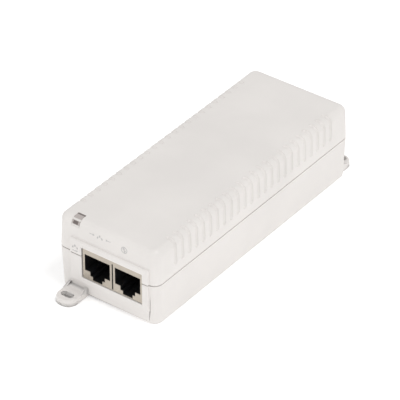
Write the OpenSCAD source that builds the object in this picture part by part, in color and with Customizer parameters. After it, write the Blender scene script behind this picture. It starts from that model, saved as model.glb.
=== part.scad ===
// Power over Ethernet injector: a mains-powered box with two network jacks.
// The origin is at the middle of the base. X is across, -Y is the jack end, Z is up.

/* [Case] */
// Width of the case at its parting line
case_width = 48.5; // [46:0.5:56]
// Length of the case without its ears
case_length = 130; // [130:1:150]
// Height of the case
case_height = 34.4; // [33:0.2:38]
// Height of the parting line between cover and case
seam_height = 18.9; // [17:0.1:20]
// Thickness of the moulded walls
wall = 2; // [1.6:0.1:2.4]
// Radius of the four upright corners
corner_radius = 3.6; // [3.6:0.1:6]
// Radius of the upper edge
top_edge = 3; // [2.5:0.1:3]
// Radius of the lower edge
base_edge = 0.8; // [0.4:0.1:1.2]
// Lean of the moulded walls in degrees
lean = 1.7; // [0.5:0.1:2.5]
// Height of the shadow gap at the parting line
seam_gap = 0.5; // [0.3:0.1:0.8]

/* [Finger grooves] */
// Number of grooves on each long side
groove_count = 24; // [4:1:26]
// Distance from one groove to the next
groove_pitch = 4.53; // [3:0.01:4.6]
// Distance of the first groove from the front face
groove_start = 12; // [8:0.5:14]
// Width of one groove
groove_width = 2.2; // [1:0.1:2.6]
// Depth of one groove
groove_depth = 0.75; // [0.4:0.05:1]
// Height at which the grooves begin
groove_foot = 23.3; // [21:0.1:26]
// Reach of the grooves onto the top face
groove_reach = 4; // [3:0.1:6]

/* [Front panel] */
// Left edge of the raised panel
panel_left = -17.5; // [-18:0.1:-16]
// Right edge of the raised panel
panel_right = 20.6; // [19:0.1:20.8]
// Lower edge of the raised panel
panel_low = 6.4; // [5:0.1:7]
// Upper edge of the raised panel
panel_high = 26; // [25:0.1:28]
// How far the panel stands out from the front face
panel_step = 0.8; // [0.4:0.1:1.2]

/* [Mounting ears] */
// Middle of the front ear
front_ear_x = -14.5; // [-16:0.5:-12]
// Middle of the rear ear
rear_ear_x = 17.3; // [12:0.1:17.4]
// Width of an ear
ear_width = 9.3; // [9:0.1:10.4]
// Reach of the front ear from the case
front_ear_reach = 10.75; // [9:0.25:12]
// Reach of the rear ear from the case
rear_ear_reach = 7.2; // [6.8:0.1:9]
// Thickness of an ear
ear_thickness = 2.9; // [2.4:0.1:3.5]
// Height of the cheeks beside an ear
cheek_height = 4.5; // [3.6:0.1:6]
// Distance of the front screw slot from the case
front_slot_out = 6.7; // [6:0.1:7]
// Distance of the rear screw slot from the case
rear_slot_out = 4.3; // [4.2:0.1:5]
// Length of a screw slot
slot_length = 5.8; // [4:0.1:6]
// Width of a screw slot
slot_width = 3; // [2.8:0.1:3.4]

/* [Network jacks] */
// Middle of the pair of jacks
jack_x = 3.05; // [2:0.05:3.1]
// Distance between the two jack centres
jack_pitch = 14.8; // [14.6:0.1:15]
// Width of the metal shield
shield_width = 29; // [28.8:0.1:29]
// Height of the metal shield
shield_height = 14; // [13.8:0.1:14.4]
// Width of one plug opening
plug_width = 12.3; // [11.9:0.1:12.5]

/* [Mains inlet] */
// Width of the inlet body
inlet_width = 27.4; // [27:0.1:28]
// Height of the inlet body
inlet_height = 19.8; // [19.4:0.1:20]
// Depth of the inlet body
inlet_depth = 20; // [18:0.5:21]

/* [Light window] */
// Left edge of the light window
window_left = -17.3; // [-17.4:0.1:-16.8]
// Width of the light window
window_width = 3.7; // [3:0.1:3.8]
// Height at which the window begins on the front
window_foot = 31.1; // [30.5:0.1:32]
// Reach of the window onto the top face
window_reach = 5; // [4:0.1:7]

/* [Hidden] */
fine = 96;
round_fn = 48;
// Number of flats along a rounded edge of the case
edge_steps = 10;
// Overshoot that keeps a cut clean
cut = 1;
// Clearance between pieces that sit in each other
fit = 0.05;

front_y = -case_length / 2;
rear_y = case_length / 2;
panel_y = front_y - panel_step;
lip_height = 1.5;
lip_thickness = 0.95;
cover_low = seam_height + seam_gap / 2;
case_high = seam_height - seam_gap / 2;

board_top = 8.8;
board_thickness = 1.6;
board_low = board_top - board_thickness;
board_width = 41;
board_front = front_y + 2.5;
board_rear = rear_y - 2.7;

shield_left = jack_x - shield_width / 2;
shield_low = 9;
shield_high = shield_low + shield_height;
shield_front = panel_y + 0.4;
shield_depth = 18;
shield_sheet = 0.3;
jack_gap = 0.5;
housing_front = shield_front + shield_sheet + fit;
housing_depth = shield_depth - 2 * shield_sheet - 2 * fit;
plug_high = 20.5;
plug_depth = 13.6;
// Widths and lower ends of the stepped plug opening
plug_steps = [[plug_width, 12.9], [plug_width - 5.1, 11], [plug_width - 7.6, 9.4]];
jack_centres = [jack_x - jack_pitch / 2, jack_x + jack_pitch / 2];

wire_radius = 0.23;
wire_pitch = 1.016;
wire_count = 8;
wire_length = 8.6;
wire_slope = 18;
bend_radius = 0.32;
bend_width = 0.5;
wire_pivot_y = housing_front + 3.2;
wire_pivot_z = 20;
lead_foot_y = housing_front + housing_depth - 2.4;
// Rise of the slots for the fixed leads above the plug opening
lead_slot_rise = 1.1;

inlet_middle = board_top + fit + inlet_height / 2;
inlet_front = rear_y - inlet_depth;
inlet_cavity = [24.6, 15.6, 16.4];
inlet_chamfer = 4.6;
blade = [2, 4];
blade_floor = rear_y - inlet_cavity[1];
// Across, above the middle and length of each blade; the earth blade is in the middle
blade_places = [[-7, -2, 13], [0, 2, 14.4], [7, -2, 13]];

boss_places = [[-18, -34], [18, -34], [-18, 34], [18, 34]];
boss_radius = 4;
boss_meet = 16;
head_bore = 2.95;
head_seat = 13.4;
screw_radius = 1.25;
screw_way = 1.6;
screw_head = [2.7, 1.8];
case_screw_length = 11;
board_screw_length = 6;
cover_boss_radius = 3.2;

post_places = [[-16.5, -51.5], [17, -42.5], [-17.2, 54], [17.2, 54]];
post_radius = 3;

label_size = [27, 78];
label_thickness = 0.15;

// ---------------------------------------------------------------- shared shapes

// Half of a moulded wall section: reach at the foot, a leaning wall and a round upper edge
module wall_section(reach, rise, edge, angle) {
    edge_z = rise - edge;
    edge_x = (reach * cos(angle) - edge - edge_z * sin(angle)) / cos(angle);
    bend = [for (step = [0 : edge_steps]) angle + (90 - angle) * step / edge_steps];
    polygon(concat(
        [[0, 0], [reach, 0]],
        [for (turn = bend) [edge_x + edge * cos(turn), edge_z + edge * sin(turn)]],
        [[0, rise]]
    ));
}

// Upright block with leaning walls, round corners and a round upper edge, standing on z = 0
module leaning_block(width, length, rise, corner, edge, angle) {
    rotate([90, 0, 0])
        linear_extrude(height = length - 2 * corner, center = true) {
            wall_section(width / 2, rise, edge, angle);
            mirror([1, 0]) wall_section(width / 2, rise, edge, angle);
        }
    for (turn = [0, 180])
        rotate([0, 0, turn]) translate([0, length / 2 - corner, 0]) {
            rotate([90, 0, 90])
                linear_extrude(height = width - 2 * corner, center = true)
                    wall_section(corner, rise, edge, angle);
            for (side = [0, 1])
                mirror([side, 0, 0]) translate([width / 2 - corner, 0, 0])
                    rotate_extrude(angle = 90, $fn = fine)
                        wall_section(corner, rise, edge, angle);
        }
}

// Flat plate with round corners, standing on z = 0
module rounded_plate(width, length, corner, height) {
    linear_extrude(height = height) {
        square([width - 2 * corner, length], center = true);
        square([width, length - 2 * corner], center = true);
        for (x = [-1, 1], y = [-1, 1])
            translate([x * (width / 2 - corner), y * (length / 2 - corner)])
                circle(r = corner, $fn = fine);
    }
}

// Box given by its lowest and highest corners
module span_box(low, high) {
    translate(low) cube(high - low);
}

// Tube standing on z = 0
module tube(outer, inner, height) {
    difference() {
        cylinder(r = outer, h = height, $fn = round_fn);
        translate([0, 0, -cut]) cylinder(r = inner, h = height + 2 * cut, $fn = round_fn);
    }
}

// Straight round wire between two points, with its ends chamfered
module wire(from, to, radius) {
    run = to - from;
    reach = norm(run);
    chamfer = radius * 0.4;
    translate(from)
        rotate([0, acos(run[2] / reach), atan2(run[1], run[0])])
            rotate_extrude($fn = 24)
                polygon([
                    [0, 0], [radius - chamfer, 0], [radius, chamfer],
                    [radius, reach - chamfer], [radius - chamfer, reach], [0, reach]
                ]);
}

// Upright leads from the board up to a given height
module leads(places, height, radius = 0.4) {
    for (place = places)
        translate([place[0], place[1], board_top]) cylinder(r = radius, h = height, $fn = 16);
}

// Plate with the outline of the case, set in by a given amount, between two heights
module inset_plate(inset, low, high) {
    translate([0, 0, low])
        rounded_plate(case_width - 2 * inset, case_length - 2 * inset,
            corner_radius - inset, high - low);
}

// ---------------------------------------------------------------- case shells

module upper_envelope(shrink = 0) {
    translate([0, 0, seam_height])
        leaning_block(case_width - 2 * shrink, case_length - 2 * shrink,
            case_height - seam_height - shrink, corner_radius - shrink,
            max(top_edge - shrink, 0.6), lean);
}

module lower_envelope(shrink = 0) {
    translate([0, 0, seam_height]) mirror([0, 0, 1])
        leaning_block(case_width - 2 * shrink, case_length - 2 * shrink,
            seam_height - shrink, corner_radius - shrink, max(base_edge - shrink, 0.4), lean);
}

// Panel that stands out from the front face around the jacks, between two heights
module raised_panel(low, high, round_top = false) {
    shoulder = round_top ? panel_step : 0;
    span_box([panel_left, panel_y, low], [panel_right, front_y + wall, high - shoulder]);
    if (round_top) {
        span_box([panel_left, panel_y + shoulder, low], [panel_right, front_y + wall, high]);
        translate([panel_left, panel_y + shoulder, high - shoulder])
            rotate([0, 90, 0]) cylinder(r = shoulder, h = panel_right - panel_left, $fn = round_fn);
    }
}

// Holes through the end walls for the jacks and the mains inlet
module end_openings() {
    span_box([shield_left - jack_gap, panel_y - cut, shield_low - fit],
        [shield_left + shield_width + fit, front_y + wall + cut, shield_high + fit]);
    translate([0, rear_y + cut, inlet_middle]) rotate([90, 0, 0])
        linear_extrude(height = wall + 2 * cut) inlet_outline(inlet_width, inlet_height, fit);
}

// Slot outline with one round end at x = 0, running towards +X
module slot_outline(run) {
    radius = groove_width / 2;
    translate([radius, 0]) circle(r = radius, $fn = round_fn);
    translate([radius, -radius]) square([run - radius, groove_width]);
}

// The row of slot outlines along the case, with their round ends at x = 0
module slot_row(run) {
    for (index = [0 : groove_count - 1])
        translate([0, front_y + groove_start + index * groove_pitch]) slot_outline(run);
}

// Grooves with round ends that run up each side wall and over the upper edge
module finger_grooves() {
    edge_x = case_width / 2 - (case_height - seam_height) * tan(lean);
    difference() {
        for (side = [0, 1]) mirror([side, 0, 0]) {
            translate([edge_x - groove_reach, 0, case_height - top_edge])
                linear_extrude(height = top_edge + cut) slot_row(groove_reach + 2 * cut);
            translate([edge_x + 2 * cut, 0, groove_foot]) rotate([0, -90, 0])
                linear_extrude(height = top_edge + cut)
                    slot_row(case_height - groove_foot + cut);
        }
        rotate([90, 0, 0])
            linear_extrude(height = case_length, center = true)
                for (side = [0, 1])
                    mirror([side, 0]) translate([0, seam_height])
                        wall_section(case_width / 2 - groove_depth,
                            case_height - seam_height - groove_depth,
                            top_edge - groove_depth, lean);
    }
}

module window_space(gap) {
    span_box([window_left - gap, panel_y, window_foot - gap],
        [window_left + window_width + gap, front_y + window_reach + gap, case_height + cut]);
}

module top_cover() {
    color("whitesmoke") {
        difference() {
            union() {
                upper_envelope();
                raised_panel(seam_height, panel_high, true);
            }
            upper_envelope(wall);
            span_box([-case_width, -case_length, 0], [case_width, case_length, cover_low]);
            inset_plate(wall - lip_thickness - 2 * fit, seam_height - cut, seam_height + lip_height);
            finger_grooves();
            end_openings();
            window_space(fit);
        }
        for (place = boss_places)
            translate([place[0], place[1], boss_meet]) difference() {
                cylinder(r = cover_boss_radius, h = case_height - wall - boss_meet + fit,
                    $fn = round_fn);
                translate([0, 0, -cut]) cylinder(r = screw_radius, h = 11 + cut, $fn = round_fn);
            }
    }
}

module ear_slot() {
    reach = (slot_length - slot_width) / 2;
    for (side = [-1, 1])
        translate([side * reach, 0, -cut])
            cylinder(r = slot_width / 2, h = ear_thickness + 2 * cut, $fn = round_fn);
    translate([-reach, -slot_width / 2, -cut])
        cube([2 * reach, slot_width, ear_thickness + 2 * cut]);
}

// Mounting ear on a wall whose face is the plane y = 0, reaching towards -Y
module mounting_ear(reach, slot_out) {
    cheek = 1.1;
    cheek_run = reach / 3;
    root = 1.2;
    difference() {
        union() {
            leaning_block(ear_width, 2 * reach, ear_thickness, 4, 0.7, lean);
            for (side = [-1, 1])
                translate([side * (ear_width - cheek) / 2 - cheek / 2, 0, 0])
                    rotate([90, 0, 90]) linear_extrude(height = cheek)
                        polygon([
                            [root + cut, base_edge], [root + cut, cheek_height],
                            [0, cheek_height], [-cheek_run, ear_thickness - 0.3],
                            [-cheek_run, base_edge]
                        ]);
        }
        translate([0, -slot_out, 0]) ear_slot();
        span_box([-ear_width, root, -cut], [ear_width, 2 * reach, cheek_height + cut]);
    }
}

module bottom_case() {
    color("whitesmoke") difference() {
        union() {
            difference() {
                union() {
                    lower_envelope();
                    raised_panel(panel_low, seam_height);
                    translate([front_ear_x, front_y, 0])
                        mounting_ear(front_ear_reach, front_slot_out);
                    translate([rear_ear_x, rear_y, 0]) rotate([0, 0, 180])
                        mounting_ear(rear_ear_reach, rear_slot_out);
                }
                lower_envelope(wall);
                span_box([-case_width, -case_length, case_high],
                    [case_width, case_length, case_height]);
            }
            difference() {
                inset_plate(wall - lip_thickness, case_high - 2, seam_height + lip_height);
                inset_plate(wall, case_high - 2 - cut, seam_height + lip_height + cut);
            }
            for (place = boss_places)
                translate([place[0], place[1], wall / 2])
                    cylinder(r = boss_radius, h = boss_meet - wall / 2, $fn = round_fn);
            for (place = post_places)
                translate([place[0], place[1], wall / 2])
                    cylinder(r = post_radius, h = board_low - wall / 2, $fn = round_fn);
        }
        end_openings();
        for (place = boss_places) {
            translate([place[0], place[1], -cut])
                cylinder(r = head_bore, h = head_seat + cut, $fn = round_fn);
            translate([place[0], place[1], 0])
                cylinder(r = screw_way, h = boss_meet + cut, $fn = round_fn);
        }
        for (place = post_places)
            translate([place[0], place[1], wall])
                cylinder(r = screw_radius, h = board_low, $fn = round_fn);
        translate([0, 0, -cut])
            rounded_plate(label_size[0] + 1, label_size[1] + 1, 2, label_thickness + cut);
    }
}

module rating_label() {
    color("silver")
        rounded_plate(label_size[0], label_size[1], 1.5, label_thickness);
}

module light_pipe() {
    stem_left = window_left + 0.4;
    stem_right = window_left + window_width - 0.4;
    color("slategray", 0.7) {
        intersection() {
            upper_envelope();
            window_space(0);
        }
        span_box([stem_left, front_y + wall + 1.1, board_top + 2.4],
            [stem_right, front_y + window_reach - 0.6, window_foot + 0.1]);
    }
}

// ---------------------------------------------------------------- network jacks

// Stepped opening for one network plug with its latch below, pushed along +Y from y = 0
module plug_opening(depth, grow = 0) {
    for (step = plug_steps)
        span_box([-step[0] / 2 - grow, 0, step[1] - grow], [step[0] / 2 + grow, depth, plug_high + grow]);
}

module jack_shield() {
    slit = 0.6;
    tab = [0.3, 1.6, 2];
    color("tan") {
        difference() {
            span_box([shield_left, shield_front, shield_low],
                [shield_left + shield_width, shield_front + shield_depth, shield_high]);
            span_box([shield_left + shield_sheet, shield_front + shield_sheet, shield_low - cut],
                [shield_left + shield_width - shield_sheet,
                 shield_front + shield_depth - shield_sheet, shield_high - shield_sheet]);
            for (x = jack_centres)
                translate([x, shield_front - cut, 0]) plug_opening(shield_sheet + 2 * cut);
            span_box([jack_x - slit / 2, shield_front - cut, plug_steps[2][1]],
                [jack_x + slit / 2, shield_front + shield_sheet + cut, plug_high + 1]);
        }
        for (x = [shield_left, shield_left + shield_width - tab[0]], y = [4, 11])
            translate([x, shield_front + y, shield_low - 0.15]) cube([tab[0], tab[1], 0.4]);
    }
}

module jack_housing() {
    left = shield_left + shield_sheet + fit;
    right = shield_left + shield_width - shield_sheet - fit;
    color([0.08, 0.08, 0.09]) difference() {
        span_box([left, housing_front, shield_low],
            [right, housing_front + housing_depth, shield_high - shield_sheet - fit]);
        for (x = jack_centres)
            translate([x, housing_front - cut, 0]) plug_opening(plug_depth + cut);
        lead_slots();
    }
}

// Row of eight places across one jack
function wire_places(middle) =
    [for (index = [0 : wire_count - 1]) middle + (index - (wire_count - 1) / 2) * wire_pitch];

// Slots in the housing in which the fixed leads lie
module lead_slots() {
    slot = wire_radius + fit;
    for (middle = jack_centres, x = wire_places(middle)) {
        span_box([x - slot, wire_pivot_y - 0.6, plug_high - cut],
            [x + slot, lead_foot_y + slot, plug_high + lead_slot_rise]);
        span_box([x - slot, lead_foot_y - slot, shield_low - cut],
            [x + slot, lead_foot_y + slot, plug_high + lead_slot_rise]);
    }
}

// Fixed, square part of each contact: back along the roof of the jack and down to the board
module jack_leads() {
    roof_z = plug_high + 0.8;
    foot_z = board_top + fit;
    color("goldenrod")
        for (middle = jack_centres, x = wire_places(middle)) {
            span_box([x - wire_radius, wire_pivot_y, roof_z - wire_radius],
                [x + wire_radius, lead_foot_y + wire_radius, roof_z + wire_radius]);
            span_box([x - wire_radius, lead_foot_y - wire_radius, foot_z],
                [x + wire_radius, lead_foot_y + wire_radius, roof_z]);
        }
}

// Eight spring wires that slope down into the jack from their bend at the front
module contact_comb(middle) {
    tip = [0, wire_length * cos(wire_slope), -wire_length * sin(wire_slope)];
    color("gold")
        for (x = wire_places(middle)) {
            start = [x, wire_pivot_y, wire_pivot_z];
            wire(start, start + tip, wire_radius);
            translate(start - [bend_width / 2, 0, 0]) rotate([0, 90, 0])
                cylinder(r = bend_radius, h = bend_width, $fn = 24);
        }
}

module data_in_contacts() { contact_comb(jack_centres[0]); }

module power_out_contacts() { contact_comb(jack_centres[1]); }

// ---------------------------------------------------------------- mains inlet

// Outline of a mains inlet: a rectangle with its two upper corners cut off
module inlet_outline(width, height, grow = 0) {
    half = width / 2 + grow;
    rise = height / 2 + grow;
    polygon([
        [-half, -rise], [half, -rise], [half, rise - inlet_chamfer],
        [half - inlet_chamfer, rise], [inlet_chamfer - half, rise], [-half, rise - inlet_chamfer]
    ]);
}

module inlet_body() {
    color([0.1, 0.1, 0.1]) difference() {
        translate([0, rear_y, inlet_middle]) rotate([90, 0, 0])
            linear_extrude(height = inlet_depth) inlet_outline(inlet_width, inlet_height);
        translate([0, rear_y + cut, inlet_middle]) rotate([90, 0, 0])
            linear_extrude(height = inlet_cavity[1] + cut)
                inlet_outline(inlet_cavity[0], inlet_cavity[2]);
        blade_row(fit, inlet_front - cut);
    }
}

// Three flat blades; the middle one is the earth, longer and higher
module blade_row(grow, back) {
    for (place = blade_places)
        span_box([place[0] - blade[0] / 2 - grow, back, inlet_middle + place[1] - blade[1] / 2 - grow],
            [place[0] + blade[0] / 2 + grow, blade_floor + place[2],
             inlet_middle + place[1] + blade[1] / 2 + grow]);
}

module inlet_pins() {
    tail = [1.2, 0.8];
    back = inlet_front - tail[1];
    color("silver") {
        blade_row(0, back);
        for (place = blade_places)
            span_box([place[0] - tail[0] / 2, back, board_top],
                [place[0] + tail[0] / 2, back + tail[1] - fit, inlet_middle + place[1]]);
    }
}

// ---------------------------------------------------------------- board and fixings

module main_board() {
    color("darkgreen") difference() {
        span_box([-board_width / 2, board_front, board_low], [board_width / 2, board_rear, board_top]);
        for (place = boss_places)
            translate([place[0], place[1], board_low - cut])
                cylinder(r = boss_radius + 0.4, h = board_thickness + 2 * cut, $fn = round_fn);
        for (place = boss_places)
            span_box([place[0] > 0 ? place[0] : -board_width, place[1] - boss_radius - 0.4, board_low - cut],
                [place[0] > 0 ? board_width : place[0], place[1] + boss_radius + 0.4, board_top + cut]);
        for (place = post_places)
            translate([place[0], place[1], board_low - cut])
                cylinder(r = screw_way, h = board_thickness + 2 * cut, $fn = round_fn);
    }
}

module insulation_sheet() {
    sheet = 0.3;
    color("lightyellow") difference() {
        translate([0, 0, wall]) rounded_plate(42, 122, 2, sheet);
        for (place = boss_places)
            translate([place[0], place[1], 0])
                cylinder(r = boss_radius + 0.3, h = board_low, $fn = round_fn);
        for (place = post_places)
            translate([place[0], place[1], 0])
                cylinder(r = post_radius + 0.3, h = board_low, $fn = round_fn);
    }
}

// Pan-head screw with a cross recess, head seat at z = 0 and shank towards +Z
module pan_screw(head_radius, head_height, shank) {
    recess = 0.9;
    point = 1.2;
    difference() {
        rotate_extrude($fn = round_fn) {
            polygon([[0, -head_height], [head_radius * 0.7, -head_height],
                [head_radius, -head_height * 0.45], [head_radius, 0], [0, 0]]);
            polygon([[0, -0.01], [screw_radius, -0.01], [screw_radius, shank - point],
                [0.2, shank], [0, shank]]);
        }
        for (turn = [0, 90])
            rotate([0, 0, turn])
                translate([-head_radius * 0.6, -0.3, -head_height - cut])
                    cube([head_radius * 1.2, 0.6, recess + cut]);
    }
}

module case_screws() {
    color("gray") for (place = boss_places)
        translate([place[0], place[1], head_seat])
            pan_screw(screw_head[0], screw_head[1], case_screw_length);
}

module board_screws() {
    color("gray") for (place = post_places)
        translate([place[0], place[1], board_top]) rotate([180, 0, 0])
            pan_screw(screw_head[0], screw_head[1], board_screw_length);
}

// ---------------------------------------------------------------- mains filter

module fuse() {
    place = [-18, 43];
    size = [4, 8.4, 7.6];
    color("dimgray") {
        translate([place[0] - size[0] / 2, place[1] - size[1] / 2, board_top + 0.6]) cube(size);
        leads([[place[0], place[1] - 2.5], [place[0], place[1] + 2.5]], 0.7, 0.3);
    }
}

module varistor() {
    place = [17.4, 44.8];
    radius = 5;
    color("royalblue") {
        translate([place[0] - 1.9, place[1], board_top + 1.4 + radius]) rotate([0, 90, 0])
            cylinder(r = radius, h = 3.8, $fn = round_fn);
        leads([[place[0] - 0.8, place[1] - 2.5], [place[0] + 0.8, place[1] + 2.5]], 3, 0.3);
    }
}

module x_capacitor() {
    size = [13, 4.2, 10.5];
    low = [-10, 39.5, board_top + 0.4];
    color("gold") {
        difference() {
            translate(low) cube(size);
            span_box(low + [1, 0.8, -cut], low + [size[0] - 1, size[1] - 0.8, 0.6]);
        }
        leads([[low[0] + 1.8, low[1] + size[1] / 2],
            [low[0] + size[0] - 1.8, low[1] + size[1] / 2]], 1.2, 0.3);
    }
}

choke_place = [-3.5, 35.6];
choke_outer = 7.6;
choke_inner = 4.2;
choke_depth = 5;
choke_middle = board_top + 2 + choke_outer + 1;

// Ring that lies in the upright plane across the case
module choke_ring(outer, inner, depth) {
    translate([choke_place[0], choke_place[1] + depth / 2, choke_middle])
        rotate([90, 0, 0]) tube(outer, inner, depth);
}

module choke_core() {
    color("darkolivegreen") choke_ring(choke_outer, choke_inner, choke_depth);
}

// Two coils wound over the left and the right of the ring
module choke_windings() {
    turn_radius = 0.4;
    clearance = 0.05;
    turns = [-52 : 13 : 52];
    color("chocolate")
        for (side = [0, 180], angle = turns)
            translate([choke_place[0], choke_place[1], choke_middle])
                rotate([0, side + angle, 0])
                    translate([(choke_outer + choke_inner) / 2, 0, 0])
                        wound_turn((choke_outer - choke_inner) / 2 + clearance,
                            choke_depth / 2 + clearance, turn_radius);
}

// One square turn of wire around a bar that runs along Z, half as wide and deep as given
module wound_turn(half_width, half_depth, radius) {
    difference() {
        translate([0, 0, -radius])
            span_box([-half_width - 2 * radius, -half_depth - 2 * radius, 0],
                [half_width + 2 * radius, half_depth + 2 * radius, 2 * radius]);
        translate([0, 0, -radius - cut])
            span_box([-half_width, -half_depth, 0], [half_width, half_depth, 2 * radius + 2 * cut]);
    }
}

module choke_base() {
    color([0.1, 0.1, 0.1]) difference() {
        translate([choke_place[0] - 8.5, choke_place[1] - 3.8, board_top])
            cube([17, 7.6, 2.6]);
        choke_ring(choke_outer + 0.95, choke_inner, 7.8);
    }
}

module bridge_rectifier() {
    size = [3.6, 14.6, 10.4];
    low = [6.2, 29.6, board_top + 2];
    color([0.12, 0.12, 0.13]) {
        difference() {
            translate(low) cube(size);
            translate(low + [-cut, 0, size[2]]) rotate([45, 0, 0])
                translate([0, -1.4, -1.4]) cube([size[0] + 2 * cut, 2.8, 2.8]);
        }
        leads([for (step = [0 : 3]) [low[0] + size[0] / 2, low[1] + 1.8 + step * 3.66]], 2.2, 0.45);
    }
}

// ---------------------------------------------------------------- power stage

// Upright can capacitor with a crimp groove and a recessed top
module can_capacitor(radius, height) {
    groove = 0.5;
    difference() {
        rotate_extrude($fn = round_fn) difference() {
            square([radius, height]);
            translate([radius + 0.25, 2.4]) circle(r = groove + 0.25, $fn = 32);
            translate([0, height - 0.3]) square([radius - 0.8, 1]);
        }
        for (turn = [0, 90])
            rotate([0, 0, turn]) translate([-radius * 0.6, -0.15, height - 0.5])
                cube([radius * 1.2, 0.3, 1]);
    }
}

module bulk_capacitor() {
    place = [-10.6, 20.6];
    color("midnightblue") {
        translate([place[0], place[1], board_top + 0.3]) can_capacitor(8, 21.5);
        leads([[place[0] - 3.75, place[1]], [place[0] + 3.75, place[1]]], 0.4);
    }
}

// Upright heatsink plate with short fins towards +X
module finned_plate(low, length, height) {
    plate = 1.5;
    fin = 1.2;
    translate(low) cube([plate, length, height]);
    for (y = [0 : 3 : length - 1])
        translate(low + [plate - 0.01, y, 3]) cube([fin, 1, height - 3]);
}

module primary_heatsink() {
    color("silver") finned_plate([17.4, 11, board_top + 0.2], 17, 19);
}

module secondary_heatsink() {
    color("silver") finned_plate([17.4, -14, board_top + 0.2], 17, 17);
}

// Three-legged power device that leans flat on a plate at +X
module power_device(face_x, middle_y) {
    body = [4.4, 10, 9];
    tab = [1.3, 10, 6];
    low = [face_x - body[0], middle_y - body[1] / 2, board_top + 4];
    difference() {
        union() {
            translate(low) cube(body);
            translate([face_x - tab[0], low[1], low[2] + body[2] - 0.01]) cube(tab);
        }
        translate([face_x - body[0], middle_y, low[2] + body[2] + 3]) rotate([0, 90, 0])
            cylinder(r = 1.8, h = body[0] + cut, $fn = round_fn);
    }
    leads([for (step = [-1 : 1]) [face_x - 2.4, middle_y + step * 2.54]], 4.1, 0.35);
}

module switching_transistor() {
    color([0.13, 0.13, 0.14]) power_device(17.35, 19.5);
}

module output_rectifier() {
    color([0.13, 0.13, 0.14]) power_device(17.35, -5.5);
}

transformer_place = [-3.4, -1];
core_size = [7.2, 25, 19.6];
core_low = board_top + 2.2;
core_leg = 7;
core_window = [6.3, 12];

module transformer_core() {
    middle = [transformer_place[0], transformer_place[1], core_low + core_size[2] / 2];
    color([0.25, 0.25, 0.27])
        translate(middle) rotate([90, 0, 90])
            linear_extrude(height = core_size[0], center = true) difference() {
                square([core_size[1], core_size[2]], center = true);
                for (side = [-1, 1])
                    translate([side * (core_leg + core_window[0]) / 2, 0])
                        square(core_window, center = true);
            }
}

// Sleeve round the middle leg with a flange at each end, and a pin rail on each side below
module transformer_bobbin() {
    middle_z = core_low + core_size[2] / 2;
    flange = [20, core_leg + 2 * core_window[0] - 0.4, 1];
    sleeve = 0.9;
    rail = [2.8, 18, 4.6];
    rail_x = flange[0] / 2 - rail[0] / 2;
    color([0.15, 0.15, 0.16]) {
        translate([transformer_place[0], transformer_place[1], middle_z]) difference() {
            union() {
                for (side = [-1, 1])
                    translate([0, 0, side * (core_window[1] / 2 - flange[2] / 2 - 0.1)])
                        cube(flange, center = true);
                cube([core_size[0] + 2 * sleeve, core_leg + 2 * sleeve, core_window[1] - 0.4],
                    center = true);
            }
            cube([core_size[0] + 2 * fit, core_leg + 2 * fit, core_window[1] + cut], center = true);
        }
        for (side = [-1, 1])
            translate([transformer_place[0] + side * rail_x, transformer_place[1], board_top]) {
                translate([-rail[0] / 2, -rail[1] / 2, 0.3]) cube(rail);
                for (step = [-2 : 2])
                    translate([0, step * 3.8, 0]) cylinder(r = 0.35, h = 1, $fn = 16);
            }
    }
}

// Taped winding between the flanges, with round corners
module transformer_winding() {
    middle_z = core_low + core_size[2] / 2;
    height = core_window[1] - 2.6;
    color("khaki")
        translate([transformer_place[0], transformer_place[1], middle_z - height / 2]) difference() {
            rounded_plate(19, 18.4, 4, height);
            translate([0, 0, height / 2])
                cube([core_size[0] + 1.9, core_leg + 1.9, height + cut], center = true);
        }
}

module optocoupler() {
    low = [10.6, 5.4, board_top + 0.5];
    size = [6.4, 4.6, 3.5];
    color([0.9, 0.9, 0.88]) {
        difference() {
            translate(low) cube(size);
            translate(low + [1, 1, size[2]]) sphere(r = 0.4, $fn = 16);
        }
        leads([for (x = [0.2, 6.2], y = [1.03, 3.57]) [low[0] + x, low[1] + y]], 2, 0.25);
    }
}

module y_capacitors() {
    radius = 4;
    color("deepskyblue")
        for (y = [-6.5, 4.5]) {
            translate([-18.8, y, board_top + 1.2 + radius]) rotate([0, 90, 0])
                cylinder(r = radius, h = 3.4, $fn = round_fn);
            leads([[-17.1, y - 2.5], [-17.1, y + 2.5]], 3, 0.3);
        }
}

module output_capacitors() {
    color("black")
        for (x = [-14.4, -3.2]) {
            translate([x, -20.8, board_top + 0.3]) can_capacitor(5, 16);
            leads([[x - 2.5, -20.8], [x + 2.5, -20.8]], 0.4);
        }
}

inductor_place = [8, -20.8];

module inductor_core() {
    color([0.2, 0.2, 0.22])
        translate([inductor_place[0], inductor_place[1], board_top + 0.3])
            rotate_extrude($fn = round_fn)
                polygon([[0, 0], [5, 0], [5, 1.4], [2.4, 1.4], [2.4, 9.6], [5, 9.6], [5, 11], [0, 11]]);
}

module inductor_winding() {
    turn = 0.95;
    color("chocolate")
        translate([inductor_place[0], inductor_place[1], board_top + 0.3 + 1.45])
            rotate_extrude($fn = round_fn) difference() {
                translate([2.45, 0]) square([2.1, 8.1]);
                for (step = [0 : 7])
                    translate([4.75, 0.25 + turn * (step + 0.3)]) circle(r = 0.35, $fn = 24);
            }
}

// ---------------------------------------------------------------- small parts on the board

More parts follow.
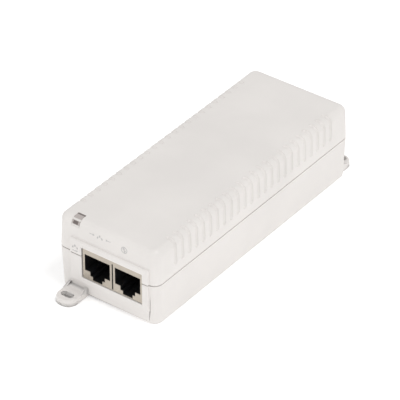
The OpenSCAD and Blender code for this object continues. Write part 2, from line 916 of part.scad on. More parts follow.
// Flat chip with gull-wing legs along both long sides, long side along X
module flat_chip(place, size, leg_count, leg_pitch) {
    low = [place[0] - size[0] / 2, place[1] - size[1] / 2, board_top + 0.15];
    leg_start = place[0] - (leg_count - 1) * leg_pitch / 2;
    difference() {
        translate(low) cube(size);
        translate([low[0] + 0.9, low[1] + 0.9, low[2] + size[2] - 0.1])
            cylinder(r = 0.4, h = cut, $fn = 24);
    }
    for (index = [0 : leg_count - 1], side = [0, 1])
        translate([leg_start + index * leg_pitch, place[1], board_top]) mirror([0, side, 0]) {
            translate([-0.2, size[1] / 2, 0]) cube([0.4, 1, 0.2]);
            translate([-0.2, size[1] / 2, 0]) cube([0.4, 0.3, 0.9]);
        }
}

module controller_chips() {
    color([0.1, 0.1, 0.1]) {
        flat_chip([-5, -31], [10.3, 6, 2.3], 8, 1.27);
        flat_chip([7.6, -31], [5, 4, 1.5], 4, 1.27);
        flat_chip([4.6, 19.4], [5, 4, 1.5], 4, 1.27);
    }
}

module signal_transformers() {
    color([0.12, 0.12, 0.12])
        for (x = [-5.2, 7.4]) flat_chip([x, -40.6], [11.4, 7.4, 5.6], 8, 1.27);
}

module status_lights() {
    middle = window_left + window_width / 2;
    color("palegreen")
        translate([middle, front_y + wall + 1.7, board_top]) {
            translate([-1, -1, 0]) cube([2, 2, 0.7]);
            translate([0, 0, 0.69]) cylinder(r = 0.8, h = 1.2, $fn = 32);
        }
}

top_cover();
bottom_case();
light_pipe();
jack_shield();
jack_housing();
jack_leads();
data_in_contacts();
power_out_contacts();
inlet_body();
inlet_pins();
main_board();
insulation_sheet();
fuse();
varistor();
x_capacitor();
choke_core();
choke_windings();
choke_base();
bridge_rectifier();
bulk_capacitor();
primary_heatsink();
switching_transistor();
transformer_core();
transformer_bobbin();
transformer_winding();
optocoupler();
y_capacitors();
output_rectifier();
secondary_heatsink();
output_capacitors();
inductor_core();
inductor_winding();
controller_chips();
signal_transformers();
status_lights();
board_screws();
case_screws();
rating_label();
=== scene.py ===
"""Looks of a Power over Ethernet injector: case, network jacks, mains inlet and inner parts.

Every piece is modelled in millimetres and brought to metres when it is finished.
The X axis runs across the case, -Y points to the jack end, and the base lies on z = 0.
"""

import logging
import math
from contextlib import contextmanager
from dataclasses import dataclass, field
from enum import Enum
from typing import Callable, Iterator, Sequence

import bmesh
import bpy
from mathutils import Matrix, Vector


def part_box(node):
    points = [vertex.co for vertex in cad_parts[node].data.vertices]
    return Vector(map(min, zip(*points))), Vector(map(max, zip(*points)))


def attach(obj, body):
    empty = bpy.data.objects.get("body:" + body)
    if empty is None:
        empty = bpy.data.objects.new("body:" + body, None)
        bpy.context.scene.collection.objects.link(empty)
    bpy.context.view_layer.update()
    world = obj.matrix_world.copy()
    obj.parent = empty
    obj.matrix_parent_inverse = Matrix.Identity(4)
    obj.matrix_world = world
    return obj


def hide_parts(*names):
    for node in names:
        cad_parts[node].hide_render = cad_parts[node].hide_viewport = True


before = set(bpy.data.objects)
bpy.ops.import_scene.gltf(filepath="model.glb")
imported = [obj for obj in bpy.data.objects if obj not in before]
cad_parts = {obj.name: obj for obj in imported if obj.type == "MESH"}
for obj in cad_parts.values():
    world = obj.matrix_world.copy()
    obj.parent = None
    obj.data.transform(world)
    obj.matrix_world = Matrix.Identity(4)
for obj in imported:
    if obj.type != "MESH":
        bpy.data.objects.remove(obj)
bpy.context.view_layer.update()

MM = 0.001
LEAN = math.radians(1.7)
HOUSING = "housing"
log = logging.getLogger("injector")

Point = Sequence[float]
Test = Callable[[Vector, Vector], bool]


class Part(Enum):
    """Kinds of mesh element that can be picked in edit mode."""

    EDGES = "EDGE"
    FACES = "FACE"


class Join(Enum):
    """Ways in which one solid can be combined with another."""

    ADD = "UNION"
    CUT = "DIFFERENCE"
    KEEP = "INTERSECT"


# ---------------------------------------------------------------- modelling steps


def cad_span(node: str) -> tuple[Vector, Vector]:
    """Box of a CAD node in millimetres.

    Args:
        node: Name of the CAD node.

    Returns:
        The lowest and the highest corner.
    """
    low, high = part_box(node)
    return low / MM, high / MM


def use_only(piece: bpy.types.Object) -> None:
    """Selects one object alone and makes it active."""
    bpy.ops.object.select_all(action="DESELECT")
    piece.select_set(True)
    bpy.context.view_layer.objects.active = piece


@contextmanager
def editing(piece: bpy.types.Object) -> Iterator[None]:
    """Holds one object in edit mode for the length of a with block."""
    use_only(piece)
    bpy.ops.object.mode_set(mode="EDIT")
    try:
        yield
    finally:
        bpy.ops.object.mode_set(mode="OBJECT")


def pick(piece: bpy.types.Object, part: Part, test: Test) -> int:
    """Selects the edges or faces of the edited object that pass a test.

    Args:
        piece: The object in edit mode.
        part: Whether edges or faces are picked.
        test: Takes the middle of an element, and its direction or normal.

    Returns:
        How many elements were picked.
    """
    bpy.ops.mesh.select_mode(type=part.value)
    bpy.ops.mesh.select_all(action="DESELECT")
    mesh = bmesh.from_edit_mesh(piece.data)
    count = 0
    if part is Part.FACES:
        for face in mesh.faces:
            if test(face.calc_center_median(), face.normal):
                face.select_set(True)
                count += 1
    else:
        for edge in mesh.edges:
            start, end = (vert.co for vert in edge.verts)
            if test((start + end) / 2, (end - start).normalized()):
                edge.select_set(True)
                count += 1
    bmesh.update_edit_mesh(piece.data)
    return count


def apply_place(piece: bpy.types.Object) -> None:
    """Moves an object's place, turn and scale into its mesh."""
    use_only(piece)
    bpy.ops.object.transform_apply(location=True, rotation=True, scale=True)


def new_box(name: str, low: Point, high: Point) -> bpy.types.Object:
    """Adds a box between two corners.

    Args:
        name: Name of the new object.
        low: Lowest corner.
        high: Highest corner.

    Returns:
        The box, with its place in its mesh.
    """
    low, high = Vector(low), Vector(high)
    bpy.ops.object.select_all(action="DESELECT")
    bpy.ops.mesh.primitive_cube_add(size=1, location=(low + high) / 2)
    box = bpy.context.object
    box.name = name
    box.scale = high - low
    apply_place(box)
    return box


def new_rod(name: str, start: Point, radius: float, length: float, axis: str = "Z",
            sides: int = 48) -> bpy.types.Object:
    """Adds a round rod that runs from a point along an axis.

    Args:
        name: Name of the new object.
        start: Middle of the rod's first end.
        radius: Radius of the rod.
        length: Length of the rod.
        axis: Axis that the rod runs along.
        sides: Number of flats round the rod.

    Returns:
        The rod, with its place in its mesh.
    """
    bpy.ops.object.select_all(action="DESELECT")
    bpy.ops.mesh.primitive_cylinder_add(vertices=sides, radius=radius, depth=length)
    rod = bpy.context.object
    rod.name = name
    turns = {"X": Vector((0, math.pi / 2, 0)), "Y": Vector((math.pi / 2, 0, 0)), "Z": Vector()}
    steps = {"X": Vector((1, 0, 0)), "Y": Vector((0, 1, 0)), "Z": Vector((0, 0, 1))}
    rod.rotation_euler = turns[axis]
    rod.location = Vector(start) + steps[axis] * length / 2
    apply_place(rod)
    return rod


def round_edges(piece: bpy.types.Object, test: Test, radius: float, steps: int = 8) -> None:
    """Rounds or chamfers the edges that pass a test.

    Args:
        piece: The object to shape.
        test: Takes the middle and the direction of an edge.
        radius: Radius of the rounding, or width of the chamfer.
        steps: Number of flats, where one makes a chamfer.
    """
    with editing(piece):
        if pick(piece, Part.EDGES, test):
            bpy.ops.mesh.bevel(offset=radius, offset_type="OFFSET", segments=steps,
                               profile=0.5, affect="EDGES", clamp_overlap=False)


def combine(piece: bpy.types.Object, tool: bpy.types.Object, how: Join) -> None:
    """Combines a solid with a tool solid, which is used up.

    Args:
        piece: The solid that stays.
        tool: The solid that adds to it or cuts it.
        how: Whether the tool adds, cuts or is the space that stays.
    """
    use_only(piece)
    modifier = piece.modifiers.new("combine", "BOOLEAN")
    modifier.operation = how.value
    modifier.object = tool
    modifier.solver = "EXACT"
    bpy.ops.object.modifier_apply(modifier=modifier.name)
    bpy.data.objects.remove(tool)


def copied(piece: bpy.types.Object, shift: Point = (0, 0, 0)) -> bpy.types.Object:
    """Copies an object with a mesh of its own, moved by a given amount."""
    use_only(piece)
    bpy.ops.object.duplicate(linked=False)
    copy = bpy.context.object
    copy.location = Vector(shift)
    apply_place(copy)
    return copy


def turned(piece: bpy.types.Object, angle: float, axis: str) -> bpy.types.Object:
    """Turns an object's mesh about an axis through the origin.

    Args:
        piece: The object to turn.
        angle: Angle in degrees.
        axis: Axis of the turn.

    Returns:
        The same object.
    """
    piece.matrix_world = Matrix.Rotation(math.radians(angle), 4, axis) @ piece.matrix_world
    apply_place(piece)
    return piece


def mirrored(piece: bpy.types.Object, axis: int) -> bpy.types.Object:
    """Mirrors an object's mesh through the origin and turns its faces outwards again.

    Args:
        piece: The object to mirror.
        axis: Number of the axis that is mirrored.

    Returns:
        The same object.
    """
    piece.scale[axis] = -1
    apply_place(piece)
    with editing(piece):
        bpy.ops.mesh.select_all(action="SELECT")
        bpy.ops.mesh.normals_make_consistent(inside=False)
    return piece


def joined(name: str, parts: Sequence[bpy.types.Object]) -> bpy.types.Object:
    """Joins several objects into one.

    Args:
        name: Name of the joined object.
        parts: The objects, of which the first one stays.

    Returns:
        The joined object.
    """
    use_only(parts[0])
    for part in parts[1:]:
        part.select_set(True)
    bpy.ops.object.join()
    parts[0].name = name
    return parts[0]


def soften(piece: bpy.types.Object, radius: float, steps: int = 3, sharp: float = 40) -> None:
    """Cleans a solid and gives its sharp edges a small radius.

    Args:
        piece: The solid to finish.
        radius: Radius of the rounded edges.
        steps: Number of flats along each rounded edge.
        sharp: Angle in degrees above which an edge counts as sharp.
    """
    with editing(piece):
        bpy.ops.mesh.select_all(action="SELECT")
        bpy.ops.mesh.remove_doubles(threshold=0.002)
        bpy.ops.mesh.dissolve_limited(angle_limit=math.radians(0.6))
    modifier = piece.modifiers.new("soften", "BEVEL")
    modifier.limit_method = "ANGLE"
    modifier.angle_limit = math.radians(sharp)
    modifier.width = radius
    modifier.segments = steps
    modifier.use_clamp_overlap = False
    use_only(piece)
    bpy.ops.object.modifier_apply(modifier=modifier.name)


def even_shading(piece: bpy.types.Object) -> None:
    """Shades a piece smooth, with its large faces kept flat."""
    use_only(piece)
    bpy.ops.object.shade_smooth()
    modifier = piece.modifiers.new("even", "WEIGHTED_NORMAL")
    modifier.weight = 60
    bpy.ops.object.modifier_apply(modifier=modifier.name)


def finish_piece(piece: bpy.types.Object, material: bpy.types.Material,
                 body: str = HOUSING, stands_for: Sequence[str] = ()) -> bpy.types.Object:
    """Brings a piece to metres, dresses it and lets it ride on its body.

    Args:
        piece: The modelled piece, in millimetres.
        material: Its finish.
        body: Name of the body that it moves with.
        stands_for: CAD nodes that it replaces.

    Returns:
        The finished piece.
    """
    piece.scale = (MM, MM, MM)
    apply_place(piece)
    piece.data.materials.clear()
    piece.data.materials.append(material)
    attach(piece, body)
    if stands_for:
        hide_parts(*stands_for)
    log.info("%s: %d faces on %s", piece.name, len(piece.data.polygons), body)
    return piece


def dress(node: str, material: bpy.types.Material) -> None:
    """Gives a CAD node that stays its finish."""
    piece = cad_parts[node]
    piece.data.materials.clear()
    piece.data.materials.append(material)
    log.info("%s: dressed in %s", node, material.name)


@dataclass
class LeaningBlock:
    """Upright block with leaning walls, round corners and a round upper edge."""

    width: float
    length: float
    rise: float
    corner: float
    edge: float
    corner_steps: int = 12
    edge_steps: int = 10

    def build(self, name: str) -> bpy.types.Object:
        """Models the block standing on z = 0 around the origin."""
        block = new_box(name, (-self.width / 2, -self.length / 2, 0),
                        (self.width / 2, self.length / 2, self.rise))
        pull = 2 * self.rise * math.tan(LEAN)
        with editing(block):
            pick(block, Part.FACES, lambda middle, normal: normal.z > 0.9)
            bpy.ops.transform.resize(
                value=(1 - pull / self.width, 1 - pull / self.length, 1),
                center_override=(0, 0, self.rise))
        round_edges(block, lambda middle, run: abs(run.z) > 0.9, self.corner, self.corner_steps)
        round_edges(block, lambda middle, run: middle.z > self.rise - 0.01 and abs(run.z) < 0.1,
                    self.edge, self.edge_steps)
        return block


def softened_copy(node: str, name: str, radius: float) -> bpy.types.Object:
    """Copies a CAD node and gives its sharp edges a small radius.

    Args:
        node: Name of the CAD node.
        name: Name of the new piece.
        radius: Radius of the rounded edges in millimetres.

    Returns:
        The piece, in millimetres.
    """
    piece = copied(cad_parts[node])
    piece.name = name
    piece.scale = (1 / MM, 1 / MM, 1 / MM)
    apply_place(piece)
    soften(piece, radius)
    even_shading(piece)
    return piece


# ---------------------------------------------------------------- finishes


class Desk:
    """Small helper that lays out the nodes of one material."""

    def __init__(self, name: str) -> None:
        """Starts an empty material with one surface shader."""
        self.material = bpy.data.materials.new(name)
        self.material.use_nodes = True
        self.tree = self.material.node_tree
        self.tree.nodes.clear()
        self.shader = self.node("ShaderNodeBsdfPrincipled")
        output = self.node("ShaderNodeOutputMaterial")
        self.link(self.shader.outputs["BSDF"], output.inputs["Surface"])
        self.place = self.node("ShaderNodeTexCoord").outputs["Object"]

    def node(self, kind: str, **inputs: object) -> bpy.types.Node:
        """Adds a node and sets its input sockets by name, with _ for a space."""
        made = self.tree.nodes.new(kind)
        for key, value in inputs.items():
            made.inputs[key.replace("_", " ")].default_value = value
        return made

    def link(self, source: bpy.types.NodeSocket, target: bpy.types.NodeSocket) -> None:
        """Joins an output socket to an input socket."""
        self.tree.links.new(source, target)

    def stretched(self, scale: Point) -> bpy.types.NodeSocket:
        """Object coordinates stretched by a scale on each axis."""
        mapping = self.node("ShaderNodeMapping", Scale=scale)
        self.link(self.place, mapping.inputs["Vector"])
        return mapping.outputs["Vector"]

    def noise(self, scale: float, detail: float = 3, source: bpy.types.NodeSocket = None
              ) -> bpy.types.NodeSocket:
        """Adds a noise pattern.

        Args:
            scale: Cycles per metre.
            detail: Number of finer layers.
            source: Coordinates, or none for the plain object coordinates.

        Returns:
            The pattern's value socket.
        """
        pattern = self.node("ShaderNodeTexNoise", Scale=scale, Detail=detail)
        self.link(source or self.place, pattern.inputs["Vector"])
        return pattern.outputs["Fac"]

    def spread(self, value: bpy.types.NodeSocket, low: float, high: float,
               start: float = 0.3, end: float = 0.7) -> bpy.types.NodeSocket:
        """Maps a pattern's range from start to end onto low to high."""
        ramp = self.node("ShaderNodeMapRange")
        for key, number in (("From Min", start), ("From Max", end), ("To Min", low),
                            ("To Max", high)):
            ramp.inputs[key].default_value = number
        self.link(value, ramp.inputs["Value"])
        return ramp.outputs["Result"]

    def blend(self, value: bpy.types.NodeSocket, first: Point, second: Point
              ) -> bpy.types.NodeSocket:
        """Mixes two colours by a pattern.

        Args:
            value: Pattern socket from 0 to 1.
            first: Colour where the pattern is low.
            second: Colour where the pattern is high.

        Returns:
            The mixed colour's socket.
        """
        ramp = self.node("ShaderNodeValToRGB")
        ramp.color_ramp.elements[0].position = 0.35
        ramp.color_ramp.elements[1].position = 0.65
        ramp.color_ramp.elements[0].color = (*first, 1)
        ramp.color_ramp.elements[1].color = (*second, 1)
        self.link(value, ramp.inputs["Fac"])
        return ramp.outputs["Color"]

    def math(self, work: str, *values: object) -> bpy.types.NodeSocket:
        """Works out a sum from sockets and plain numbers."""
        made = self.node("ShaderNodeMath")
        made.operation = work
        for index, value in enumerate(values):
            if isinstance(value, bpy.types.NodeSocket):
                self.link(value, made.inputs[index])
            else:
                made.inputs[index].default_value = value
        return made.outputs["Value"]

    def between(self, value: bpy.types.NodeSocket, low: float, high: float
                ) -> bpy.types.NodeSocket:
        """One where a value lies between two limits, and nought elsewhere."""
        return self.math("MULTIPLY", self.math("GREATER_THAN", value, low),
                         self.math("LESS_THAN", value, high))

    def bump(self, height: bpy.types.NodeSocket, depth: float, strength: float = 1) -> None:
        """Raises the surface by a pattern, where depth is in metres."""
        bump = self.node("ShaderNodeBump", Strength=strength, Distance=depth)
        self.link(height, bump.inputs["Height"])
        self.link(bump.outputs["Normal"], self.shader.inputs["Normal"])

    def set(self, **values: object) -> None:
        """Sets plain values on the shader's own sockets, with _ for a space."""
        for key, value in values.items():
            self.shader.inputs[key.replace("_", " ")].default_value = value


def shifted(colour: Point, amount: float) -> tuple[float, ...]:
    """A colour made lighter or darker by a share of itself."""
    return tuple(min(1, channel * (1 + amount)) for channel in colour)


@dataclass(frozen=True)
class Moulding:
    """Moulded plastic with a fine grain and faint clouding."""

    name: str
    colour: Point
    roughness: float = 0.45
    grain: float = 1600
    depth: float = 0.00002
    clouding: float = 0.025

    def build(self) -> bpy.types.Material:
        """Makes the material."""
        desk = Desk(self.name)
        cloud = desk.noise(38, 4)
        grain = desk.noise(self.grain, 2)
        colour = desk.blend(cloud, shifted(self.colour, -self.clouding),
                            shifted(self.colour, self.clouding))
        desk.link(colour, desk.shader.inputs["Base Color"])
        desk.link(desk.spread(grain, self.roughness - 0.06, self.roughness + 0.06),
                  desk.shader.inputs["Roughness"])
        desk.bump(grain, self.depth)
        desk.set(IOR=1.5)
        return desk.material


@dataclass(frozen=True)
class Metal:
    """Bare or plated metal with fine marks drawn along one direction."""

    name: str
    colour: Point
    roughness: float = 0.3
    stretch: Point = (1, 1, 1)
    tarnish: float = 0.08

    def build(self) -> bpy.types.Material:
        """Makes the material."""
        desk = Desk(self.name)
        marks = desk.noise(2400, 3, desk.stretched(self.stretch))
        cloud = desk.noise(220, 3)
        desk.link(desk.blend(cloud, shifted(self.colour, -self.tarnish), self.colour),
                  desk.shader.inputs["Base Color"])
        desk.link(desk.spread(marks, self.roughness - 0.08, self.roughness + 0.1),
                  desk.shader.inputs["Roughness"])
        desk.bump(marks, 0.000006)
        desk.set(Metallic=1.0)
        return desk.material


@dataclass(frozen=True)
class ClearMoulding:
    """Smoky clear plastic with faint flow lines."""

    name: str
    colour: Point
    transmission: float = 0.6

    def build(self) -> bpy.types.Material:
        """Makes the material."""
        desk = Desk(self.name)
        flow = desk.noise(300, 3, desk.stretched((1, 3, 1)))
        desk.link(desk.blend(flow, shifted(self.colour, -0.08), shifted(self.colour, 0.08)),
                  desk.shader.inputs["Base Color"])
        desk.link(desk.spread(flow, 0.08, 0.16), desk.shader.inputs["Roughness"])
        desk.bump(flow, 0.00001)
        desk.set(IOR=1.49, Transmission_Weight=self.transmission, Coat_Weight=0.3)
        return desk.material


@dataclass(frozen=True)
class WindowWithPaintedLight:
    """Smoky window with painted light and shade, whose tone changes from its rear edge, over the
    bend, to its foot: painted shade along the rear edge, a painted highlight over the bend, and a
    painted shade spot on the foot for the dark inside seen through the lens.
    """

    name: str
    rear: float
    top: float
    left: float
    right: float
    # Tones: the dark one is painted shade, grey is the window's own smoky tint, and pale is painted
    # highlight.
    painted_shade_tone: Point = (0.17, 0.14, 0.13)
    grey: Point = (0.5, 0.45, 0.43)
    pale: Point = (0.8, 0.77, 0.74)
    # Bands along the run from the rear edge: a painted shade line, the grey tint, and pale painted
    # highlights over the bend and round the foot.
    bands: Sequence[Point] = ((0.0, 0), (0.9, 1), (3.5, 2), (4.6, 1), (7.0, 2), (8.1, 1))
    # Painted shade spot between left and right, standing in for the dark inside seen through the
    # foot.
    painted_shade_spot: Point = (4.9, 6.8)
    reach: float = 9.0

    def build(self) -> bpy.types.Material:
        """Makes the material."""
        desk = Desk(self.name)
        tones = (self.painted_shade_tone, self.grey, self.pale)
        axes = desk.node("ShaderNodeSeparateXYZ")
        desk.link(desk.place, axes.inputs["Vector"])
        run = desk.math("ADD", axes.outputs["Y"], axes.outputs["Z"])
        run = desk.math("SUBTRACT", (self.rear + self.top) * MM, run)
        share = desk.math("DIVIDE", run, self.reach * MM)
        ramp = desk.node("ShaderNodeValToRGB")
        ramp.color_ramp.interpolation = "CONSTANT"
        stops = ramp.color_ramp.elements
        for index, (place, tone) in enumerate(self.bands):
            stop = stops[index] if index < 2 else stops.new(place / self.reach)
            stop.position = place / self.reach
            stop.color = (*tones[tone], 1)
        desk.link(share, ramp.inputs["Fac"])
        # Mask of the painted shade spot on the foot, where the painted shade tone replaces the
        # bands.
        inside = desk.math("MULTIPLY",
                           desk.between(axes.outputs["X"], self.left * MM, self.right * MM),
                           desk.between(run, self.painted_shade_spot[0] * MM, self.painted_shade_spot[1] * MM))
        mix = desk.node("ShaderNodeMix")
        mix.data_type = "RGBA"
        desk.link(inside, mix.inputs["Factor"])
        desk.link(ramp.outputs["Color"], mix.inputs[6])
        mix.inputs[7].default_value = (*self.painted_shade_tone, 1)
        desk.link(mix.outputs[2], desk.shader.inputs["Base Color"])
        flow = desk.noise(300, 3, desk.stretched((1, 3, 1)))
        desk.link(desk.spread(flow, 0.12, 0.2), desk.shader.inputs["Roughness"])
        desk.bump(flow, 0.00001)
        desk.set(IOR=1.49, Transmission_Weight=0.12, Coat_Weight=0.3)
        return desk.material


@dataclass(frozen=True)
class Laminate:
    """Circuit board with tracks under a coloured resist."""

    name: str
    colour: Point
    track: Point

    def build(self) -> bpy.types.Material:
        """Makes the material."""
        desk = Desk(self.name)
        tracks = desk.node("ShaderNodeTexVoronoi", Scale=230)
        tracks.feature = "DISTANCE_TO_EDGE"
        tracks.distance = "CHEBYCHEV"
        desk.link(desk.place, tracks.inputs["Vector"])
        edge = desk.spread(tracks.outputs["Distance"], 0, 1, 0.08, 0.12)
        desk.link(desk.blend(edge, self.track, self.colour), desk.shader.inputs["Base Color"])
        desk.link(desk.spread(desk.noise(900), 0.25, 0.38), desk.shader.inputs["Roughness"])
        desk.bump(edge, 0.00002, 0.6)
        desk.set(Coat_Weight=0.3)
        return desk.material


@dataclass(frozen=True)
class WoundWire:
    """Enamelled wire or tape wound in even turns."""

    name: str
    colour: Point
    turns: float = 900
    metallic: float = 0.7

    def build(self) -> bpy.types.Material:
        """Makes the material."""
        desk = Desk(self.name)
        bands = desk.node("ShaderNodeTexWave", Scale=self.turns, Distortion=0.4)
        bands.bands_direction = "Z"
        desk.link(desk.place, bands.inputs["Vector"])
        desk.link(desk.blend(bands.outputs["Fac"], shifted(self.colour, -0.3), self.colour),
                  desk.shader.inputs["Base Color"])
        desk.link(desk.spread(desk.noise(1200), 0.22, 0.36), desk.shader.inputs["Roughness"])
        desk.bump(bands.outputs["Fac"], 0.00008, 0.7)
        desk.set(Metallic=self.metallic)
        return desk.material


Finish = Moulding | Metal | ClearMoulding | WindowWithPaintedLight | Laminate | WoundWire

# ---------------------------------------------------------------- case


@dataclass
class Case:
    """Both shells of the case, with what the two have in common."""

    plastic: bpy.types.Material
    width: float = 48.5
    length: float = 130.0
    height: float = 34.4
    seam: float = 18.9
    seam_gap: float = 0.36
    wall: float = 2.0
    corner: float = 3.6
    top_edge: float = 3.0
    base_edge: float = 0.8
    panel_step: float = 0.8
    panel_low: float = 6.4
    panel_high: float = 26.0
    panel_left: float = -17.5
    panel_right: float = 20.6
    jack_gap: float = 0.5
    fit: float = 0.05
    lip: float = 0.95
    lip_height: float = 1.5
    boss_places: tuple = ((-18, -34), (18, -34), (-18, 34), (18, 34))
    boss_meet: float = 16.0
    softening: float = 0.25

    def envelope(self, upper: bool, inset: float) -> bpy.types.Object:
        """Outer form of one shell, set in by a given amount.

        Args:
            upper: Whether the form is the cover's or the lower case's.
            inset: How far it is set in.

        Returns:
            The solid form in its place.
        """
        rise = self.height - self.seam if upper else self.seam
        edge = self.top_edge if upper else self.base_edge
        form = LeaningBlock(self.width - 2 * inset, self.length - 2 * inset, rise - inset,
                            self.corner - inset, max(edge - inset, 0.5)).build("form")
        if not upper:
            mirrored(form, 2)
        form.location.z = self.seam
        apply_place(form)
        return form

    def inset_plate(self, inset: float, low: float, high: float) -> bpy.types.Object:
        """Upright plate with the outline of the case, set in, between two heights."""
        half_x, half_y = self.width / 2 - inset, self.length / 2 - inset
        plate = new_box("plate", (-half_x, -half_y, low), (half_x, half_y, high))
        round_edges(plate, lambda middle, run: abs(run.z) > 0.9, self.corner - inset, 12)
        return plate

    def slab(self, low: float, high: float) -> bpy.types.Object:
        """Slab that is wider and longer than the case, between two heights."""
        reach = self.length
        return new_box("slab", (-reach, -reach, low), (reach, reach, high))

    def front_panel(self, low: float, high: float, rounded: bool) -> bpy.types.Object:
        """Raised panel round the jacks, between two heights."""
        front = -self.length / 2
        panel = new_box("panel", (self.panel_left, front - self.panel_step, low),
                        (self.panel_right, front + self.wall / 2, high))
        if rounded:
            round_edges(panel, lambda middle, run: abs(run.x) > 0.9 and middle.z > high - 0.1
                        and middle.y < front, self.panel_step - 0.02, 6)
        return panel

    def cut_end_openings(self, shell: bpy.types.Object) -> None:
        """Cuts the ways for the jacks and for the mains inlet."""
        low, high = cad_span("jack_shield")
        front = -self.length / 2
        way = new_box("way", (low.x - self.jack_gap, front - 2, low.z - self.fit),
                      (high.x + self.fit, front + 3, high.z + self.fit))
        combine(shell, way, Join.CUT)
        combine(shell, inlet_form("way", cad_span("inlet_body"), self.fit, self.wall + 2), Join.CUT)


def inlet_form(name: str, span: tuple[Vector, Vector], grow: float, depth: float
               ) -> bpy.types.Object:
    """Block with the outline of the mains inlet: two of its corners are cut off.

    Args:
        name: Name of the new object.
        span: Box that the outline fills.
        grow: How far the outline grows on every side.
        depth: How far the block reaches in from one millimetre behind the rear face.

    Returns:
        The block.
    """
    low, high = span
    form = new_box(name, (low.x - grow, high.y + 1 - depth, low.z - grow),
                   (high.x + grow, high.y + 1, high.z + grow))
    round_edges(form, lambda middle, run: abs(run.y) > 0.9 and middle.z > high.z - 0.5,
                4.6, 1)
    return form


@dataclass
class Cover(Case):
    """Upper shell with its finger grooves."""

    groove_count: int = 24
    groove_pitch: float = 4.53
    groove_start: float = 12.35
    groove_width: float = 2.2
    groove_depth: float = 0.7
    groove_foot: float = 23.3
    groove_reach: float = 4.3
    groove_sides: int = 24
    window_foot: float = 31.1
    boss_radius: float = 3.2
    bore_radius: float = 1.25

    def groove_cutter(self) -> bpy.types.Object:
        """Models a tube that runs up the wall, bends round the upper edge and ends on the top."""
        radius = (self.groove_width ** 2 / 4 + self.groove_depth ** 2) / (2 * self.groove_depth)
        lift = radius - self.groove_depth
        outward = Vector((math.cos(LEAN), 0, math.sin(LEAN)))
        down = Vector((math.sin(LEAN), 0, -math.cos(LEAN)))
        bend_z = self.height - self.top_edge
        inset = self.top_edge + (bend_z - self.seam) * math.sin(LEAN)
        bend_x = self.width / 2 - inset / math.cos(LEAN)
        edge_x = self.width / 2 - (self.height - self.seam) * math.tan(LEAN)
        top_x = edge_x - self.groove_reach + self.groove_width / 2 - radius
        foot_z = self.groove_foot + self.groove_width / 2
        wall_run = (bend_z - foot_z) / math.cos(LEAN) + radius
        foot = Vector((bend_x, 0, bend_z)) + outward * (self.top_edge + lift) + down * wall_run
        tube = new_rod("groove", (top_x, 0, self.height + lift), radius, bend_x - top_x, "X",
                       self.groove_sides)
        with editing(tube):
            pick(tube, Part.FACES, lambda middle, normal: normal.x > 0.9)
            bpy.ops.mesh.spin(steps=10, angle=LEAN - math.pi / 2, center=(bend_x, 0, bend_z),
                              axis=(0, 1, 0))
            bpy.ops.mesh.extrude_region_move(TRANSFORM_OT_translate={"value": down * wall_run})
        round_edges(tube, lambda middle, run: middle.x < top_x + 0.01, radius - 0.01, 7)
        round_edges(tube, lambda middle, run: (middle - foot).dot(down) > -0.01, radius - 0.01, 7)
        return tube

    def cut_grooves(self, cover: bpy.types.Object) -> None:
        """Cuts the grooves of both sides."""
        tube = self.groove_cutter()
        first = -self.length / 2 + self.groove_start
        right = joined("grooves", [copied(tube, (0, first + index * self.groove_pitch, 0))
                                   for index in range(self.groove_count)])
        bpy.data.objects.remove(tube)
        left = mirrored(copied(right), 0)
        combine(cover, joined("grooves", [right, left]), Join.CUT)

    def build(self) -> bpy.types.Object:
        """Models the cover."""
        cover = self.envelope(True, 0)
        cover.name = "cover_shell"
        combine(cover, self.front_panel(self.seam, self.panel_high, True), Join.ADD)
        combine(cover, self.envelope(True, self.wall), Join.CUT)
        low = self.seam + self.seam_gap / 2
        combine(cover, self.slab(0, low), Join.CUT)
        rebate = self.inset_plate(self.wall - self.lip - 2 * self.fit, low - 1,
                                  self.seam + self.lip_height)
        combine(cover, rebate, Join.CUT)
        self.cut_end_openings(cover)
        low, high = cad_span("light_pipe")
        combine(cover, new_box("window", (low.x - self.fit, -self.length / 2 - 1,
                                          self.window_foot - self.fit),
                               (high.x + self.fit, high.y + self.fit, self.height + 1)), Join.CUT)
        for x, y in self.boss_places:
            combine(cover, new_rod("boss", (x, y, self.boss_meet), self.boss_radius,
                                   self.height - self.wall - self.boss_meet + 0.2), Join.ADD)
            combine(cover, new_rod("bore", (x, y, self.boss_meet - 1), self.bore_radius, 12),
                    Join.CUT)
        soften(cover, self.softening)
        self.cut_grooves(cover)
        even_shading(cover)
        return finish_piece(cover, self.plastic, stands_for=["top_cover"])


@dataclass
class Ear:
    """Mounting ear with a screw slot and a cheek on each side."""

    x: float
    reach: float
    slot_out: float
    width: float = 9.3
    thickness: float = 2.9
    corner: float = 4.0
    edge: float = 0.7
    root: float = 1.9
    lift: float = 0.01
    cheek: float = 1.1
    cheek_height: float = 4.5
    slot_length: float = 5.8
    slot_width: float = 3.0

    def build(self) -> bpy.types.Object:
        """Models the ear on a wall whose face is the plane y = 0, reaching towards -Y."""
        ear = LeaningBlock(self.width, 2 * self.reach, self.thickness, self.corner, self.edge,
                           edge_steps=5).build("ear")
        run = self.reach / 3
        slope = self.cheek_height - self.thickness + 0.3
        for side in (-1, 1):
            middle = side * (self.width - self.cheek) / 2
            wedge = new_box("cheek", (middle - self.cheek / 2, -run, self.edge),
                            (middle + self.cheek / 2, self.root, self.cheek_height))
            with editing(wedge):
                pick(wedge, Part.EDGES, lambda place, way: abs(way.x) > 0.9 and place.y < 0
                     and place.z > self.thickness)
                bpy.ops.transform.translate(value=(0, 0, -slope))
                bpy.ops.mesh.select_all(action="SELECT")
            combine(ear, wedge, Join.ADD)
        combine(ear, new_box("inside", (-self.width, self.root, -1),
                             (self.width, 2 * self.reach, 2 * self.cheek_height)), Join.CUT)
        half = self.slot_length / 2
        slot = new_box("slot", (-half, -self.slot_out - self.slot_width / 2, -1),
                       (half, -self.slot_out + self.slot_width / 2, self.thickness + 1))
        round_edges(slot, lambda place, way: abs(way.z) > 0.9, self.slot_width / 2 - 0.01, 8)
        combine(ear, slot, Join.CUT)
        return ear


